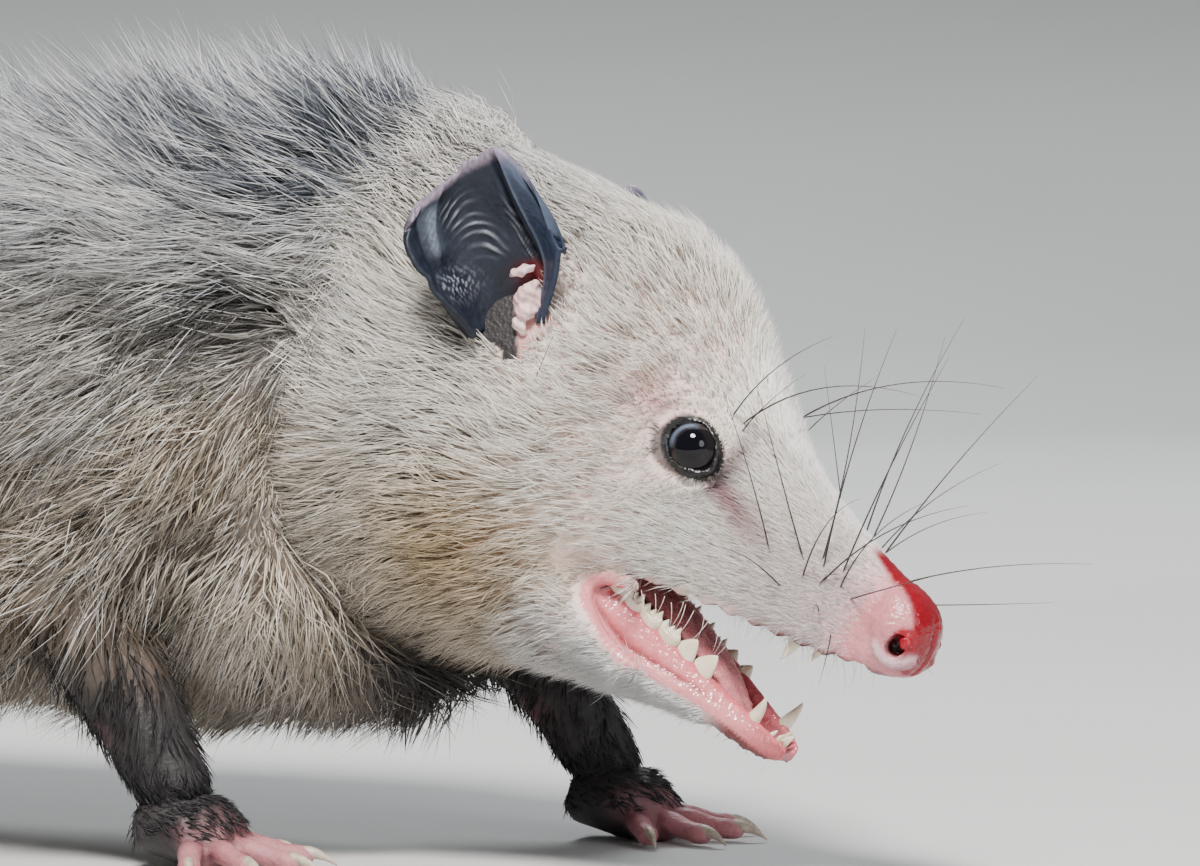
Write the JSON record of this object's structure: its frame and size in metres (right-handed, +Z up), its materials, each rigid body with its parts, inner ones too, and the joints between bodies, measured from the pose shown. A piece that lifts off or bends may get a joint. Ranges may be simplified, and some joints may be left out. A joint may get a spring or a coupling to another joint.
{
  "type": "opossum figure",
  "caption": "Life-size still model of an opossum standing low on four feet, head turned to its right with the mouth agape and the tail curved on the floor.",
  "frame": {"origin": "on the floor under the middle of the whole animal's bounding box", "axes": "+X is the way the body faces, +Y is the animal's left, +Z is up"},
  "size_m": [0.6576, 0.1738, 0.1782],
  "materials": {
    "coat": "long coarse guard hairs, white tipped, over dark underfur",
    "face": "short cream-white fur",
    "limb": "short dark fur",
    "paw": "bare pink and dusky skin with pale toes",
    "nose": "moist pink and red skin",
    "ear": "thin bare blue-black skin",
    "mouth": "wet pink skin",
    "eye": "glossy black",
    "tail": "scaly, nearly bare skin"
  },
  "bodies": {
    "root": {"head": "face", "nose": "nose", "lower_jaw": "mouth", "tongue": "mouth", "ear_right": "ear", "ear_left": "ear", "eye_right": "eye", "eye_left": "eye", "neck": "coat", "torso": "coat", "foreleg_right": "limb", "foreleg_left": "limb", "forefoot_right": "paw", "forefoot_left": "paw", "hindleg_right": "limb", "hindleg_left": "limb", "hindfoot_right": "paw", "hindfoot_left": "paw", "tail_root": "coat", "tail_front": "tail", "tail_middle": "tail", "tail_tip": "tail"}
  },
  "joints": []
}
